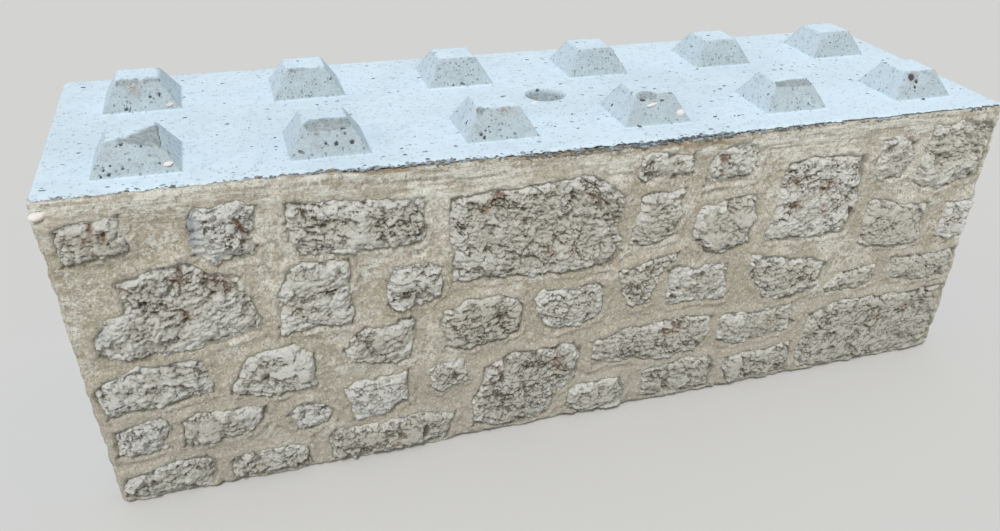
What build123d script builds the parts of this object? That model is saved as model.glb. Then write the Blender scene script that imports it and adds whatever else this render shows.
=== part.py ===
from build123d import *
import math
import os

# Concrete stacking block, faced with natural stones, in millimetres.
# +X runs along the block, -Y is the stone face, +Z is up.
# The origin is on the floor, under the middle of the block.

# Overall sizes, with the studs left out of the height
block_length = 1800
block_width = 600
block_height = 600
edge_round = 14

# Studs on the deck, and the pockets underneath that go over the studs of the block below
stud_pitch = 300
stud_base = 136
stud_top = 74
stud_height = 50
stud_edge_chamfer = 5
pocket_side_clearance = 10
pocket_roof_clearance = 10

# Round lifting recess in the middle of the deck
recess_radius = 40
recess_rim_round = 4

# Facing, from the mortar joints back into the block
mortar_joint_depth = 15
bed_thickness = 35
seam_setback = 17
deck_lap_thickness = 12
mortar_edge_round = 10
stone_embedment = 28

# Stone faces: the hipped rim, the lean of the broken face and the margins of the layout
rim_shrink = 0.9
rim_straight = 2
face_lean = 3
side_margin = 6
bottom_margin = 6
top_margin = 16

# How far the stones stand out of the joints in turn, as shares of the joint depth
stand_out_shares = [1.0, 0.7, 0.85, 0.6, 0.9]

# Which way the broken faces slope in turn, in degrees round the facing's outward direction
lean_directions = [25, 140, 250, 75, 310, 190, 350]

# Corners of each stone on a drawn face, along the block from its left end and up from its foot
STONE_OUTLINES = [
    # Top courses at the left end
    [(22, 562), (60, 570), (122, 570), (128, 540), (124, 506), (30, 495)],
    [(228, 572), (300, 574), (320, 560), (310, 472), (250, 466), (214, 484), (216, 555)],
    [(362, 563), (596, 547), (592, 462), (560, 454), (378, 460), (362, 485)],
    [(92, 455), (145, 475), (195, 481), (232, 458), (284, 444), (300, 352), (297, 328),
     (180, 306), (100, 302), (50, 312), (33, 335), (38, 362), (60, 388), (88, 402)],
    [(350, 438), (372, 449), (455, 450), (458, 338), (446, 312), (390, 317), (328, 309), (328, 392)],
    [(530, 417), (595, 420), (620, 408), (618, 350), (590, 332), (526, 328), (515, 345), (516, 385)],
    # Top courses in the middle
    [(630, 540), (900, 552), (967, 503), (967, 388), (945, 356), (860, 352), (635, 368)],
    [(988, 570), (1015, 580), (1098, 572), (1100, 530), (1078, 519), (1036, 527), (1004, 520), (986, 532)],
    [(1126, 550), (1172, 582), (1222, 584), (1234, 572), (1238, 525), (1226, 503), (1120, 501)],
    [(996, 492), (1012, 504), (1090, 500), (1082, 470), (1088, 440), (1080, 405), (1045, 390), (976, 385)],
    [(1128, 458), (1240, 476), (1250, 460), (1253, 410), (1243, 358), (1190, 346), (1148, 351),
     (1108, 383), (1116, 438)],
    # Top courses at the right end
    [(1292, 500), (1303, 526), (1358, 535), (1476, 530), (1488, 512), (1486, 400), (1468, 352),
     (1335, 351), (1272, 364), (1284, 400)],
    [(1514, 555), (1545, 560), (1598, 546), (1602, 510), (1590, 468), (1524, 460), (1511, 475)],
    [(1632, 568), (1705, 577), (1780, 570), (1797, 556), (1790, 446), (1680, 424), (1615, 450),
     (1620, 520)],
    [(1512, 418), (1540, 423), (1612, 404), (1676, 398), (1672, 340), (1684, 310), (1655, 298),
     (1550, 308), (1516, 320)],
    [(1720, 392), (1796, 396), (1797, 345), (1786, 303), (1745, 304), (1717, 310)],
    # Middle course, from the right end back to the left
    [(1254, 338), (1446, 292), (1438, 232), (1380, 208), (1335, 205), (1305, 222), (1268, 265), (1250, 296)],
    [(1475, 250), (1583, 264), (1580, 222), (1550, 210), (1460, 207), (1452, 220)],
    [(1606, 280), (1705, 268), (1750, 276), (1792, 272), (1797, 240), (1785, 205), (1690, 200),
     (1622, 222)],
    [(430, 262), (445, 290), (468, 302), (555, 310), (566, 296), (552, 218), (500, 211), (440, 232)],
    [(608, 309), (668, 332), (720, 332), (762, 317), (771, 262), (760, 238), (695, 217), (660, 217),
     (615, 232)],
    [(788, 308), (806, 322), (925, 326), (938, 312), (930, 250), (912, 233), (828, 224), (810, 242)],
    [(954, 342), (1086, 369), (1092, 358), (1050, 318), (1040, 256), (1015, 251), (984, 258)],
    [(1068, 324), (1085, 331), (1205, 322), (1214, 248), (1206, 234), (1118, 244), (1086, 234),
     (1070, 246)],
    [(10, 255), (45, 280), (90, 296), (195, 290), (205, 232), (200, 213), (22, 195)],
    [(228, 225), (268, 282), (295, 293), (345, 290), (378, 265), (377, 195), (290, 184), (228, 208)],
    # Lower course
    [(18, 168), (98, 187), (115, 172), (118, 150), (108, 130), (112, 108), (20, 104)],
    [(132, 162), (150, 176), (230, 178), (282, 170), (284, 150), (245, 108), (130, 106)],
    [(311, 142), (332, 158), (368, 162), (394, 144), (401, 126), (390, 106), (345, 89), (326, 95)],
    [(418, 178), (450, 188), (543, 194), (542, 125), (500, 97), (437, 95)],
    [(582, 186), (600, 197), (658, 198), (660, 142), (597, 128), (582, 144)],
    [(690, 172), (750, 193), (874, 190), (892, 172), (882, 92), (848, 78), (826, 25), (805, 8),
     (745, 4), (665, 28), (658, 92), (686, 145)],
    [(912, 188), (1000, 207), (1148, 212), (1185, 202), (1192, 168), (1160, 114), (1048, 110),
     (1005, 124), (918, 119)],
    [(1203, 192), (1230, 200), (1295, 193), (1380, 198), (1400, 150), (1384, 124), (1265, 109),
     (1202, 128)],
    [(1432, 152), (1455, 170), (1520, 186), (1650, 174), (1793, 181), (1794, 20), (1740, 9),
     (1420, 8), (1411, 45)],
    # Bottom course
    [(868, 72), (895, 85), (984, 87), (996, 64), (990, 6), (905, 4), (872, 20), (860, 35)],
    [(1030, 88), (1050, 95), (1192, 100), (1208, 80), (1208, 8), (1060, 5), (1034, 20)],
    [(1234, 84), (1396, 92), (1402, 55), (1401, 10), (1252, 6), (1224, 45)],
    [(11, 45), (20, 62), (105, 80), (162, 78), (176, 62), (175, 28), (160, 3), (30, 2), (12, 18)],
    [(196, 56), (215, 64), (310, 67), (346, 62), (346, 3), (200, 2)],
    [(378, 72), (396, 85), (460, 79), (562, 86), (632, 70), (621, 45), (612, 4), (385, 3)],
]

# Planes of the facing, worked out from the sizes above
front_y = -block_width / 2
joint_y = front_y + mortar_joint_depth
seam_y = joint_y + seam_setback
core_y = joint_y + bed_thickness
stone_back_y = joint_y + stone_embedment
stud_taper = math.degrees(math.atan((stud_base - stud_top) / 2 / stud_height))


def facing_plane(y):
    """A plane parallel to the stone face, seen from the front: local x along the block, local y up."""
    return Plane(origin=(0, y, 0), x_dir=(1, 0, 0), z_dir=(0, -1, 0))


def stretch(value, drawn, low, high):
    """Carry a drawn value over to the face, so that the whole layout fills it from low to high."""
    return low + (value - min(drawn)) * (high - low) / (max(drawn) - min(drawn))


def outline_on_face(outline):
    """The corners of one stone, along the real face and up from the floor."""
    drawn_x = [x for corners in STONE_OUTLINES for x, z in corners]
    drawn_z = [z for corners in STONE_OUTLINES for x, z in corners]
    left = -block_length / 2 + side_margin
    right = block_length / 2 - side_margin
    top = block_height - top_margin
    return [(stretch(x, drawn_x, left, right), stretch(z, drawn_z, bottom_margin, top)) for x, z in outline]


os.makedirs("parts", exist_ok=True)

# Cast body: the core, with a thin lap of the deck over the top of the mortar bed
with BuildPart() as block_body:
    with BuildSketch(Plane.YZ.offset(-block_length / 2)):
        with BuildLine():
            Polyline(
                (core_y, 0),
                (block_width / 2, 0),
                (block_width / 2, block_height),
                (seam_y, block_height),
                (seam_y, block_height - deck_lap_thickness),
                (core_y, block_height - deck_lap_thickness),
                close=True,
            )
        make_face()
    extrude(amount=block_length)

    # Rounded arrises round the back and the two ends
    back_corners = block_body.edges().filter_by(Axis.Z).group_by(Axis.Y)[-1]
    fillet(back_corners, radius=edge_round)
    deck_rim = block_body.faces().sort_by(Axis.Z)[-1].edges().filter_by_position(
        Axis.Y, seam_y + edge_round, block_width / 2
    )
    fillet(deck_rim, radius=edge_round / 2)

    # Studs, as truncated pyramids in two rows
    with BuildSketch(Plane.XY.offset(block_height)):
        with GridLocations(stud_pitch, stud_pitch, 6, 2):
            Rectangle(stud_base, stud_base)
    extrude(amount=stud_height, taper=stud_taper)
    stud_edges = block_body.edges().filter_by_position(Axis.Z, block_height + 1, block_height + stud_height)
    chamfer(stud_edges, length=stud_edge_chamfer)

    # Pockets underneath, with the same slope as the studs and a gap all round
    with BuildSketch(Plane.XY):
        with GridLocations(stud_pitch, stud_pitch, 6, 2):
            Rectangle(stud_base + 2 * pocket_side_clearance, stud_base + 2 * pocket_side_clearance)
    extrude(amount=stud_height + pocket_roof_clearance, taper=stud_taper, mode=Mode.SUBTRACT)

    # Lifting recess, as a round bowl with a softened rim
    with Locations((0, 0, block_height)):
        Sphere(recess_radius, mode=Mode.SUBTRACT)
    recess_rim = block_body.edges().filter_by(GeomType.CIRCLE).filter_by_position(
        Axis.Z, block_height - 0.5, block_height + 0.5
    ).sort_by_distance((0, 0, block_height))[0]
    fillet(recess_rim, radius=recess_rim_round)

block_body.part.label = "block_body"
export_step(block_body.part, "parts/block_body.step")

# Mortar bed under the deck's lap, with a socket for each stone
with BuildPart() as facing_mortar:
    with BuildSketch(Plane.YZ.offset(-block_length / 2)):
        with BuildLine():
            Polyline(
                (joint_y, 0),
                (core_y, 0),
                (core_y, block_height - deck_lap_thickness),
                (seam_y, block_height - deck_lap_thickness),
                (seam_y, block_height),
                (joint_y, block_height),
                close=True,
            )
        make_face()
    extrude(amount=block_length)
    top_front_edge = facing_mortar.edges().filter_by(Axis.X).group_by(Axis.Y)[0].sort_by(Axis.Z)[-1]
    fillet(top_front_edge, radius=mortar_edge_round)
    with BuildSketch(facing_plane(joint_y)):
        for outline in STONE_OUTLINES:
            with BuildLine():
                Polyline(*outline_on_face(outline), close=True)
            make_face()
    extrude(amount=-stone_embedment, mode=Mode.SUBTRACT)

facing_mortar.part.label = "facing_mortar"
export_step(facing_mortar.part, "parts/facing_mortar.step")

# Facing stones: each fills its socket and stands out with a hipped, broken face
for number, outline in enumerate(STONE_OUTLINES, start=1):
    corners = outline_on_face(outline)
    middle_x = sum(x for x, z in corners) / len(corners)
    middle_z = sum(z for x, z in corners) / len(corners)
    shrunk_corners = [
        (middle_x + (x - middle_x) * rim_shrink, middle_z + (z - middle_z) * rim_shrink) for x, z in corners
    ]
    stand_out = mortar_joint_depth * stand_out_shares[number % len(stand_out_shares) - 1]
    lean_direction = math.radians(lean_directions[number % len(lean_directions)])
    outward = (
        math.sin(math.radians(face_lean)) * math.cos(lean_direction),
        -math.cos(math.radians(face_lean)),
        math.sin(math.radians(face_lean)) * math.sin(lean_direction),
    )
    with BuildPart() as stone:
        with BuildSketch(facing_plane(stone_back_y)):
            with BuildLine():
                Polyline(*corners, close=True)
            make_face()
        extrude(amount=stone_embedment + rim_straight)
        with BuildSketch(facing_plane(joint_y - rim_straight)):
            with BuildLine():
                Polyline(*corners, close=True)
            make_face()
        with BuildSketch(facing_plane(joint_y - stand_out)):
            with BuildLine():
                Polyline(*shrunk_corners, close=True)
            make_face()
        loft(ruled=True)
        split(
            bisect_by=Plane(origin=(middle_x, joint_y - stand_out, middle_z), z_dir=outward),
            keep=Keep.BOTTOM,
        )

    node = f"facing_stone_{number:02d}"
    stone.part.label = node
    export_step(stone.part, f"parts/{node}.step")
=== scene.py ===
import bmesh
import bpy
import math
import numpy as np
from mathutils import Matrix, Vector, noise
from mathutils.bvhtree import BVHTree


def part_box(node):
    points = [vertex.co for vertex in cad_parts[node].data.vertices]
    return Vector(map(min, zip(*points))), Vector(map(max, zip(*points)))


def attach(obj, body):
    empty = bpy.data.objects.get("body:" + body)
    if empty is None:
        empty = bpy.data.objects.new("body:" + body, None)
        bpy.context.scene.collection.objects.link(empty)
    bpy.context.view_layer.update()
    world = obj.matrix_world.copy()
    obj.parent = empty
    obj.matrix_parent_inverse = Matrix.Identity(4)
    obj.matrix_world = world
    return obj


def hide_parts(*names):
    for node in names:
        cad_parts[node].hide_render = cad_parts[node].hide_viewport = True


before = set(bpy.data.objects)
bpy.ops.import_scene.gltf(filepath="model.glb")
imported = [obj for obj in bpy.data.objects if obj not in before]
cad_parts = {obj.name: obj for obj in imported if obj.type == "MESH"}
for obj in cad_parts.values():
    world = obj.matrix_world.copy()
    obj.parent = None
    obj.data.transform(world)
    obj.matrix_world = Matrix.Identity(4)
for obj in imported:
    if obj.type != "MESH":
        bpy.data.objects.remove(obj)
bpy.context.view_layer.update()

# Cast body of the block
# One pour of pale blue-grey concrete: deck, twelve pyramid studs, lifting bowl, plain ends and
# back, and a pocket under each stud. It came out of a steel mould with the studs up.
BODY_LOW = np.array(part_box("block_body")[0])
BODY_HIGH = np.array(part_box("block_body")[1])
STUD_PITCH = 0.300
STUD_BASE = 0.136
STUD_TOP = 0.074
STUD_HEIGHT = 0.050
STUD_EDGE = 0.004
POCKET_MOUTH = 0.156
POCKET_ROOF = 0.0816
POCKET_DEPTH = 0.060
BOWL_RADIUS = 0.040
CORNER_ROUND = 0.014
RIM_ROUND = 0.007
LAP_UNDERSIDE = 0.588
CORE_FRONT = -0.250
DECK_LEVEL = BODY_HIGH[2] - STUD_HEIGHT
# A step in y is this much longer down a stud's flank, for holes and for spots of soil
FLANK_STRETCH = 1.9
SPOT_STRETCH = 1.6
# Mesh: steps on the deck and down the sides, a first line in from each rounded edge, and how far
# the finer grid reaches round the bowl, the studs and the pockets
DECK_STEP = 0.0125
SIDE_STEP = 0.040
EDGE_LINE = 0.003
FINE_BOWL = 0.052
FINE_STUD = 0.074
FINE_POCKET = 0.072
# Square rings of the grid turn into circles from here inwards, over this width
CIRCLE_REACH = 0.078
CIRCLE_BLEND = 0.030
# Places nearer than this count as one
SAME_PLACE = 1e-5
# Past its reach, a break rises at this slope until it meets the whole stud again
BREAK_END_SLOPE = 1.2
# Broken stud edges: middle of the break in x and y, height left there, fall in x and y, reach
BROKEN_EDGES = [
    (-0.750, -0.150, 0.0500, -0.15, 0.15, 0.090),
    (-0.712, -0.150, 0.0450, -0.60, 0.05, 0.030),
    (-0.446, -0.187, 0.0405, 0.02, 0.34, 0.034),
    (-0.178, -0.187, 0.0455, 0.25, 0.25, 0.014),
    (0.133, -0.186, 0.0440, -0.05, 0.25, 0.018),
    (0.447, -0.188, 0.0430, -0.03, 0.34, 0.040),
    (-0.766, 0.113, 0.0450, 0.05, 0.25, 0.018),
    (-0.722, 0.113, 0.0460, 0.00, 0.15, 0.016),
    (-0.450, 0.113, 0.0470, 0.05, 0.20, 0.030),
]
# Holes that air left in the studs' front faces: x, y, radius
BLOWHOLES = [
    (-0.764, -0.189, 0.0034), (-0.771, -0.191, 0.0020), (-0.751, -0.188, 0.0020), (-0.800, -0.214, 0.0024),
    (-0.795, -0.209, 0.0022), (-0.788, -0.213, 0.0030), (-0.784, -0.206, 0.0018), (-0.767, -0.209, 0.0026),
    (-0.760, -0.212, 0.0018), (-0.455, -0.204, 0.0030), (-0.438, -0.205, 0.0037), (-0.412, -0.205, 0.0039),
    (0.1235, -0.190, 0.0046), (0.1285, -0.191, 0.0026), (0.727, -0.192, 0.0074), (0.738, -0.197, 0.0046),
    (0.733, -0.203, 0.0034), (-0.190, -0.209, 0.0034), (-0.185, -0.212, 0.0030), (-0.181, -0.206, 0.0024),
    (-0.174, -0.203, 0.0020), (-0.173, -0.208, 0.0018), (-0.732, 0.098, 0.0034), (-0.716, 0.099, 0.0036),
    (-0.776, 0.088, 0.0037), (-0.770, 0.086, 0.0031),
]
# Brown spots of old soil on the studs: x, y, radius
SOIL_SPOTS = [
    (-0.146, -0.190, 0.007), (-0.134, -0.189, 0.006), (-0.757, 0.109, 0.012), (0.728, -0.194, 0.009),
    (-0.470, -0.192, 0.006),
]
# Where the deck's front edge runs: x and y along it
SEAM_RUN = [(-0.9, -0.267), (-0.6, -0.268), (-0.45, -0.272), (-0.28, -0.278), (0.0, -0.2825), (0.9, -0.2835)]
# How far the seam stands open, from 0 to 1: x and share along it
SEAM_OPEN = [
    (-0.9, 0.25), (-0.66, 0.4), (-0.58, 1.0), (-0.28, 1.0),
    (0.08, 0.7), (0.27, 0.95), (0.34, 0.25), (0.9, 0.1),
]
# How much brown soil lies in the seam, from 0 to 1: x and share along it
SEAM_SOIL = [
    (-0.9, 0.2), (-0.78, 0.5), (-0.70, 0.2), (-0.46, 0.3), (-0.42, 1.0), (-0.34, 1.0),
    (-0.30, 0.2), (-0.17, 0.3), (-0.13, 1.0), (0.03, 1.0), (0.07, 0.3), (0.12, 0.1),
    (0.30, 0.1), (0.34, 0.4), (0.42, 0.1), (0.9, 0.0),
]
CONCRETE_PALE = (0.69, 0.835, 0.935)
CONCRETE_CLOUD = (0.615, 0.75, 0.84)
CONCRETE_MIST = (0.54, 0.67, 0.75)
CONCRETE_FLANK = (0.47, 0.55, 0.58)
CONCRETE_GREY = (0.30, 0.35, 0.365)
CONCRETE_DARK = (0.065, 0.075, 0.08)
CONCRETE_SOIL = (0.36, 0.275, 0.215)


class Wire:
    """A socket of a node tree that can stand in a Python expression."""

    def __init__(self, tree, socket):
        self.tree = tree
        self.socket = socket

    def make(self, kind, settings=None, sockets=None, output=0):
        """Add a node of any kind: its settings first, then the values or links of its sockets."""
        node = self.tree.nodes.new(kind)
        for name, value in (settings or {}).items():
            setattr(node, name, value)
        for name, value in (sockets or {}).items():
            if isinstance(value, Wire):
                self.tree.links.new(value.socket, node.inputs[name])
            else:
                node.inputs[name].default_value = value
        return Wire(self.tree, node.outputs[output])

    def math(self, operation, *values):
        return self.make("ShaderNodeMath", {"operation": operation}, dict(enumerate(values)))

    def __add__(self, other):
        return self.math("ADD", self, other)

    def __radd__(self, other):
        return self.math("ADD", other, self)

    def __sub__(self, other):
        return self.math("SUBTRACT", self, other)

    def __rsub__(self, other):
        return self.math("SUBTRACT", other, self)

    def __mul__(self, other):
        return self.math("MULTIPLY", self, other)

    def __rmul__(self, other):
        return self.math("MULTIPLY", other, self)

    def __truediv__(self, other):
        return self.math("DIVIDE", self, other)

    def __pow__(self, other):
        return self.math("POWER", self, other)

    def __abs__(self):
        return self.math("ABSOLUTE", self)

    def low(self, other):
        return self.math("MINIMUM", self, other)

    def high(self, other):
        return self.math("MAXIMUM", self, other)

    def over(self, other):
        return self.math("GREATER_THAN", self, other)

    def ease(self, start, end, low=0.0, high=1.0):
        """Go smoothly from low to high while this value goes from start to end."""
        values = {0: self, 1: start, 2: end, 3: low, 4: high}
        return self.make("ShaderNodeMapRange", {"interpolation_type": "SMOOTHSTEP"}, values)

    def vector(self, operation, other, output=0):
        return self.make("ShaderNodeVectorMath", {"operation": operation}, {0: self, 1: other}, output)

    def axis(self, index):
        return self.make("ShaderNodeSeparateXYZ", {}, {"Vector": self}, index)

    def noise(self, scale, detail=2.0, roughness=0.5, distortion=0.0, output=0):
        values = {"Vector": self, "Scale": scale, "Detail": detail, "Roughness": roughness}
        return self.make("ShaderNodeTexNoise", {}, {**values, "Distortion": distortion}, output)

    def cells(self, scale, output=0):
        """Scattered cells: the distance from a cell's middle, or with output 1 its own colour."""
        return self.make("ShaderNodeTexVoronoi", {}, {"Vector": self, "Scale": scale}, output)

    def stirred(self, scale, amount):
        """This place moved about by a smooth noise, so that what is drawn there is irregular."""
        swirl = self.noise(scale, 2.0, 0.5, 0.0, 1).vector("SUBTRACT", (0.5, 0.5, 0.5))
        return self.vector("ADD", swirl.vector("MULTIPLY", (amount, amount, amount)))

    def read(self, name):
        """The value that the mesh carries under a name."""
        if self.tree.type == "SHADER":
            return self.make("ShaderNodeAttribute", {"attribute_name": name}, {}, 2)
        return self.make("GeometryNodeInputNamedAttribute", {"data_type": "FLOAT"}, {"Name": name})

    def blend(self, first, second):
        """The first colour where this value is 0 and the second where it is 1."""
        values = [color if isinstance(color, Wire) else (*color, 1) for color in (first, second)]
        settings = {"data_type": "RGBA", "clamp_factor": True}
        return self.make("ShaderNodeMix", settings, {0: self, 6: values[0], 7: values[1]}, 2)

    def pushed(self, x=0.0, y=0.0, z=0.0):
        """This mesh with its points moved."""
        step = self.make("ShaderNodeCombineXYZ", {}, {"X": x, "Y": y, "Z": z})
        return self.make("GeometryNodeSetPosition", {}, {"Geometry": self, "Offset": step})

    def marked(self, name, value):
        """This mesh carrying a value under a name."""
        values = {"Geometry": self, "Name": name, "Value": value}
        return self.make("GeometryNodeStoreNamedAttribute", {"data_type": "FLOAT", "domain": "POINT"}, values)


def geometry_tree(name, sizes):
    """A Geometry Nodes tree with a mesh input and named sizes; returns it and its inputs."""
    tree = bpy.data.node_groups.new(name, "GeometryNodeTree")
    tree.interface.new_socket("Mesh", in_out="INPUT", socket_type="NodeSocketGeometry")
    for label, value in sizes.items():
        kind = "NodeSocketVector" if isinstance(value, tuple) else "NodeSocketFloat"
        tree.interface.new_socket(label, in_out="INPUT", socket_type=kind).default_value = value
    tree.interface.new_socket("Mesh", in_out="OUTPUT", socket_type="NodeSocketGeometry")
    entry = tree.nodes.new("NodeGroupInput")
    return tree, {socket.name: Wire(tree, socket) for socket in entry.outputs if socket.name}


def end_tree(tree, mesh, material, smooth=True):
    """End a tree in real geometry with its material."""
    mesh = mesh.make("GeometryNodeRealizeInstances", {}, {"Geometry": mesh})
    mesh = mesh.make("GeometryNodeSetShadeSmooth", {}, {"Geometry": mesh, "Shade Smooth": smooth})
    mesh = mesh.make("GeometryNodeSetMaterial", {}, {"Geometry": mesh, "Material": material})
    leave = tree.nodes.new("NodeGroupOutput")
    tree.links.new(mesh.socket, leave.inputs[0])


def grow(piece, tree, **sizes):
    """Run a tree on a piece and keep its result as a plain mesh."""
    modifier = piece.modifiers.new("grow", "NODES")
    modifier.node_group = tree
    for item in tree.interface.items_tree:
        if item.in_out == "INPUT" and item.name in sizes:
            modifier[item.identifier] = sizes[item.name]
    graph = bpy.context.evaluated_depsgraph_get()
    evaluated = piece.evaluated_get(graph)
    mesh = bpy.data.meshes.new_from_object(evaluated, preserve_all_data_layers=True, depsgraph=graph)
    piece.modifiers.clear()
    piece.data = mesh


def new_piece(name, mesh):
    piece = bpy.data.objects.new(name, mesh)
    bpy.context.scene.collection.objects.link(piece)
    return piece


def points_of(mesh):
    """The mesh's points, a row for each."""
    flat = np.empty(len(mesh.vertices) * 3, dtype=np.float32)
    mesh.vertices.foreach_get("co", flat)
    return flat.reshape(-1, 3).astype(float)


def carry(mesh, name, values):
    """Let a mesh carry a value for each of its points."""
    values = np.asarray(values, dtype=np.float32)
    mesh.attributes.new(name, "FLOAT", "POINT").data.foreach_set("value", values)


def new_material(name):
    """A material; returns it, its shader node and its Object coordinates."""
    material = bpy.data.materials.new(name)
    material.use_nodes = True
    tree = material.node_tree
    place = tree.nodes.new("ShaderNodeTexCoord")
    return material, tree.nodes["Principled BSDF"], Wire(tree, place.outputs["Object"])


def finish_material(shader, color, roughness, height, distance):
    """Plug a colour, a roughness and a relief into a material's shader."""
    tree = color.tree
    tree.links.new(color.socket, shader.inputs["Base Color"])
    tree.links.new(roughness.socket, shader.inputs["Roughness"])
    bump = color.make("ShaderNodeBump", {}, {"Strength": 1.0, "Distance": distance, "Height": height})
    tree.links.new(bump.socket, shader.inputs["Normal"])


concrete, shader, place = new_material("cast_concrete")
flank = place.read("flank")
wear_and_bowl_shade = place.read("wear_and_bowl_shade")
wall = place.read("wall")
cloud = place.noise(4.0, 5.0, 0.62)
mottle = place.noise(38.0, 4.0, 0.65)
blotch = place.noise(95.0, 4.0, 0.7)
grain = place.noise(330.0, 3.0, 0.7)
color = cloud.ease(0.38, 0.68).blend(CONCRETE_PALE, CONCRETE_CLOUD)
color = (blotch.ease(0.50, 0.72) * 0.65 + mottle.ease(0.5, 0.7) * 0.45).blend(color, CONCRETE_MIST)
color = (place.axis(0).ease(0.25, 0.85) * 0.5).blend(color, CONCRETE_PALE)
# Stud flanks greyer, partly for their rougher face and partly as painted shade; the lifting bowl's wall takes
# the same grey as painted shade
color = (flank * (0.35 + mottle * 1.1)).blend(color, CONCRETE_FLANK)
color = (wall * (0.25 + cloud * 0.9)).blend(color, CONCRETE_FLANK)
# Pits painted dark as their shade, drawn out a little along the block, and smaller grey specks
dash_place = place.vector("MULTIPLY", (0.7, 1.0, 1.0)).stirred(120.0, 0.009)
dash_pick = dash_place.cells(78.0, 1)
dash_size = dash_pick.axis(0)
dash = (dash_size.ease(0.55, 1.0, 0.04, 0.26) - dash_place.cells(78.0)).ease(0.0, 0.06) * dash_size.over(0.55)
dash = dash * (dash_pick.axis(1) + (cloud - 0.5) * 1.6).ease(0.15, 0.75)
speck_place = place.stirred(170.0, 0.005)
speck_pick = speck_place.cells(175.0, 1).axis(0)
speck = (speck_pick.ease(0.60, 1.0, 0.06, 0.42) - speck_place.cells(175.0)).ease(0.0, 0.10)
speck = speck * speck_pick.over(0.60) * (flank * 0.70 + wall * 0.3 + 0.45)
# Worn places and painted shade in the lifting bowl, soiled places, painted shade in the holes, and the broken
# edge along the seam, darkened as painted shade where it stands open
edge = place.read("seam") + (mottle - 0.5) * 0.012 + (blotch - 0.5) * 0.008
color = (wear_and_bowl_shade * (0.30 + blotch.ease(0.35, 0.62) * 0.6)).blend(color, CONCRETE_GREY)
color = (flank * (blotch.ease(0.52, 0.66) * 0.45 + grain.ease(0.50, 0.66) * 0.5)).blend(color, CONCRETE_GREY)
color = (place.read("soil") * (grain + blotch - 0.4).ease(0.35, 0.75)).blend(color, CONCRETE_SOIL)
color = (speck * 0.8).blend(color, CONCRETE_GREY)
color = (dash * 0.85).blend(color, CONCRETE_DARK)
# Painted shade in the blowholes
color = (place.read("hole") + (grain - 0.5) * 1.2).ease(0.25, 0.75).blend(color, CONCRETE_DARK)
# Painted shade in the open seam: the deck's edge is darker the more the seam stands open
edge = edge.ease(0.0, 0.003 + place.read("open") * 0.004, 1.0, 0.0) * (1.0 - wall)
color = (edge * blotch.ease(0.44, 0.56) * (0.06 + place.read("open") * 0.42)).blend(color, CONCRETE_DARK)
relief = grain * (0.2 + flank * 0.5) + blotch * (wear_and_bowl_shade * 1.6 + flank * 1.0 + 0.15) - dash * 1.1 - speck * 0.9
finish_material(shader, color, cloud.ease(0.2, 0.8, 0.72, 0.92), relief, 0.0022)


def lines(stops, step):
    """Places that fall on every stop, with no gap between them wider than a step."""
    places = [stops[0]]
    for start, end in zip(stops, stops[1:]):
        count = max(1, math.ceil((end - start) / step - 1e-6))
        places += [start + (end - start) * (number + 1) / count for number in range(count)]
    return places


def stud_stops(low, high):
    """Where studs begin, flatten, turn down and end between two places."""
    stops = []
    for number in range(-4, 5):
        middle = (number + 0.5) * STUD_PITCH
        for reach in (-STUD_PITCH / 2, -STUD_BASE / 2, -STUD_TOP / 2, STUD_TOP / 2, STUD_BASE / 2):
            if low + 0.02 < middle + reach < high - 0.02:
                stops.append(middle + reach)
    return stops


def box_shell(x_lines, y_lines, z_lines):
    """A closed box of quads on the given lines."""
    sides = (x_lines, y_lines, z_lines)
    last = [len(side) - 1 for side in sides]
    shell = bmesh.new()
    corner = {}
    for axis in range(3):
        first, second = (axis + 1) % 3, (axis + 2) % 3
        for end in (0, last[axis]):
            for column in range(last[first]):
                for row in range(last[second]):
                    ring = []
                    for across, up in ((0, 0), (1, 0), (1, 1), (0, 1)):
                        index = [0, 0, 0]
                        index[axis], index[first], index[second] = end, column + across, row + up
                        key = tuple(index)
                        if key not in corner:
                            place = [side[number] for side, number in zip(sides, key)]
                            corner[key] = shell.verts.new(place)
                        ring.append(corner[key])
                    shell.faces.new(ring if end else ring[::-1])
    return shell


def refine(shell, cuts, wanted):
    """Cut the faces whose middle is wanted into a finer grid."""
    faces = [face for face in shell.faces if wanted(face.calc_center_median())]
    edges = list({edge for face in faces for edge in face.edges})
    bmesh.ops.subdivide_edges(shell, edges=edges, cuts=cuts, use_grid_fill=True)


def off_stud(value):
    """How far a place lies from the middle of its stud, along one axis."""
    return abs(value % STUD_PITCH - STUD_PITCH / 2)


def stud_reach(place):
    """How far a square round the middle of its stud has to reach to touch a place."""
    return max(off_stud(place.x), off_stud(place.y))


def on_hip(place):
    """Whether a place lies on a hip, where two flanks of a stud meet."""
    return abs(off_stud(place.x) - off_stud(place.y)) < SAME_PLACE


def rounded(points, radius, edges):
    """Points of a box with an edge rounded; edges gives each side's distance and its direction."""
    depth = np.stack([np.clip(radius - distance, 0, None) for distance, _ in edges], axis=1)
    length = np.maximum(np.linalg.norm(depth, axis=1), 1e-9)
    for column, (_, direction) in enumerate(edges):
        step = depth[:, column] * (depth.max(axis=1) / length - 1)
        points = points + step[:, None] * np.asarray(direction).reshape(-1, 3)
    return points


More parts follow.
